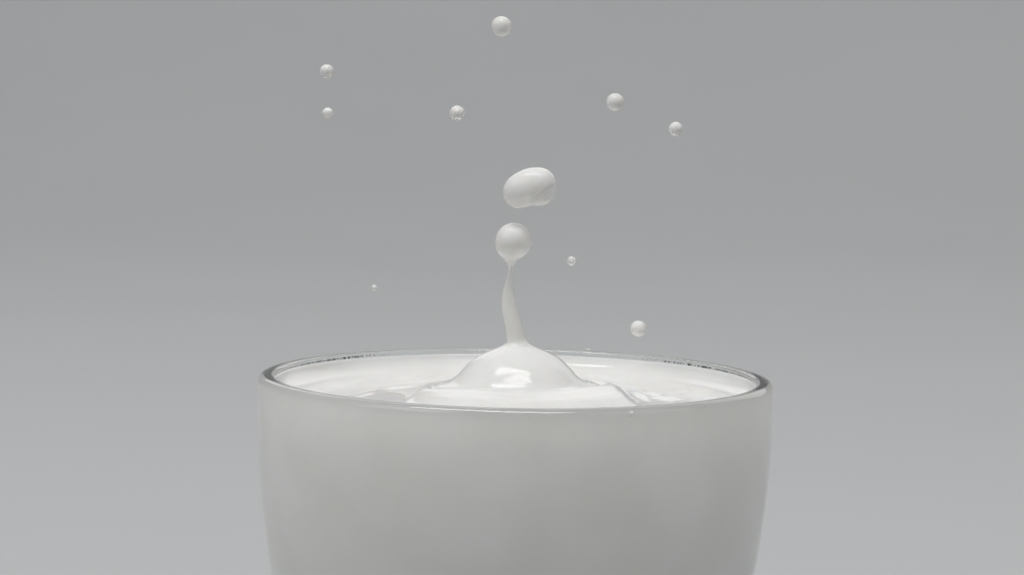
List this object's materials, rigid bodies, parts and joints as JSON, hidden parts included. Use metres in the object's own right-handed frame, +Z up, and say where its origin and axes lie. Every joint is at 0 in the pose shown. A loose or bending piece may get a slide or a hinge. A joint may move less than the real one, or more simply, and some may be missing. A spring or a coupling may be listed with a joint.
{
  "type": "glass of milk",
  "caption": "Rounded clear tumbler nearly full of milk, with the frozen splash of a drop: domed swell, thin jet with a bead, a torn-off blob and flying droplets.",
  "frame": {"origin": "middle of the tumbler's base, on the surface it stands on", "axes": "+Z up along the tumbler's axis, +X to the right and +Y away as the glass is looked at from the front"},
  "size_m": [0.075, 0.075, 0.1142],
  "materials": {
    "clear_glass": "clear polished soda-lime glass",
    "milk": "smooth wet liquid surface"
  },
  "bodies": {
    "root": {"tumbler": "clear_glass", "milk": "milk", "blob": "milk", "droplet_1": "milk", "droplet_2": "milk", "droplet_3": "milk", "droplet_4": "milk", "droplet_5": "milk", "droplet_6": "milk", "droplet_7": "milk", "droplet_8": "milk", "droplet_9": "milk"}
  },
  "joints": []
}
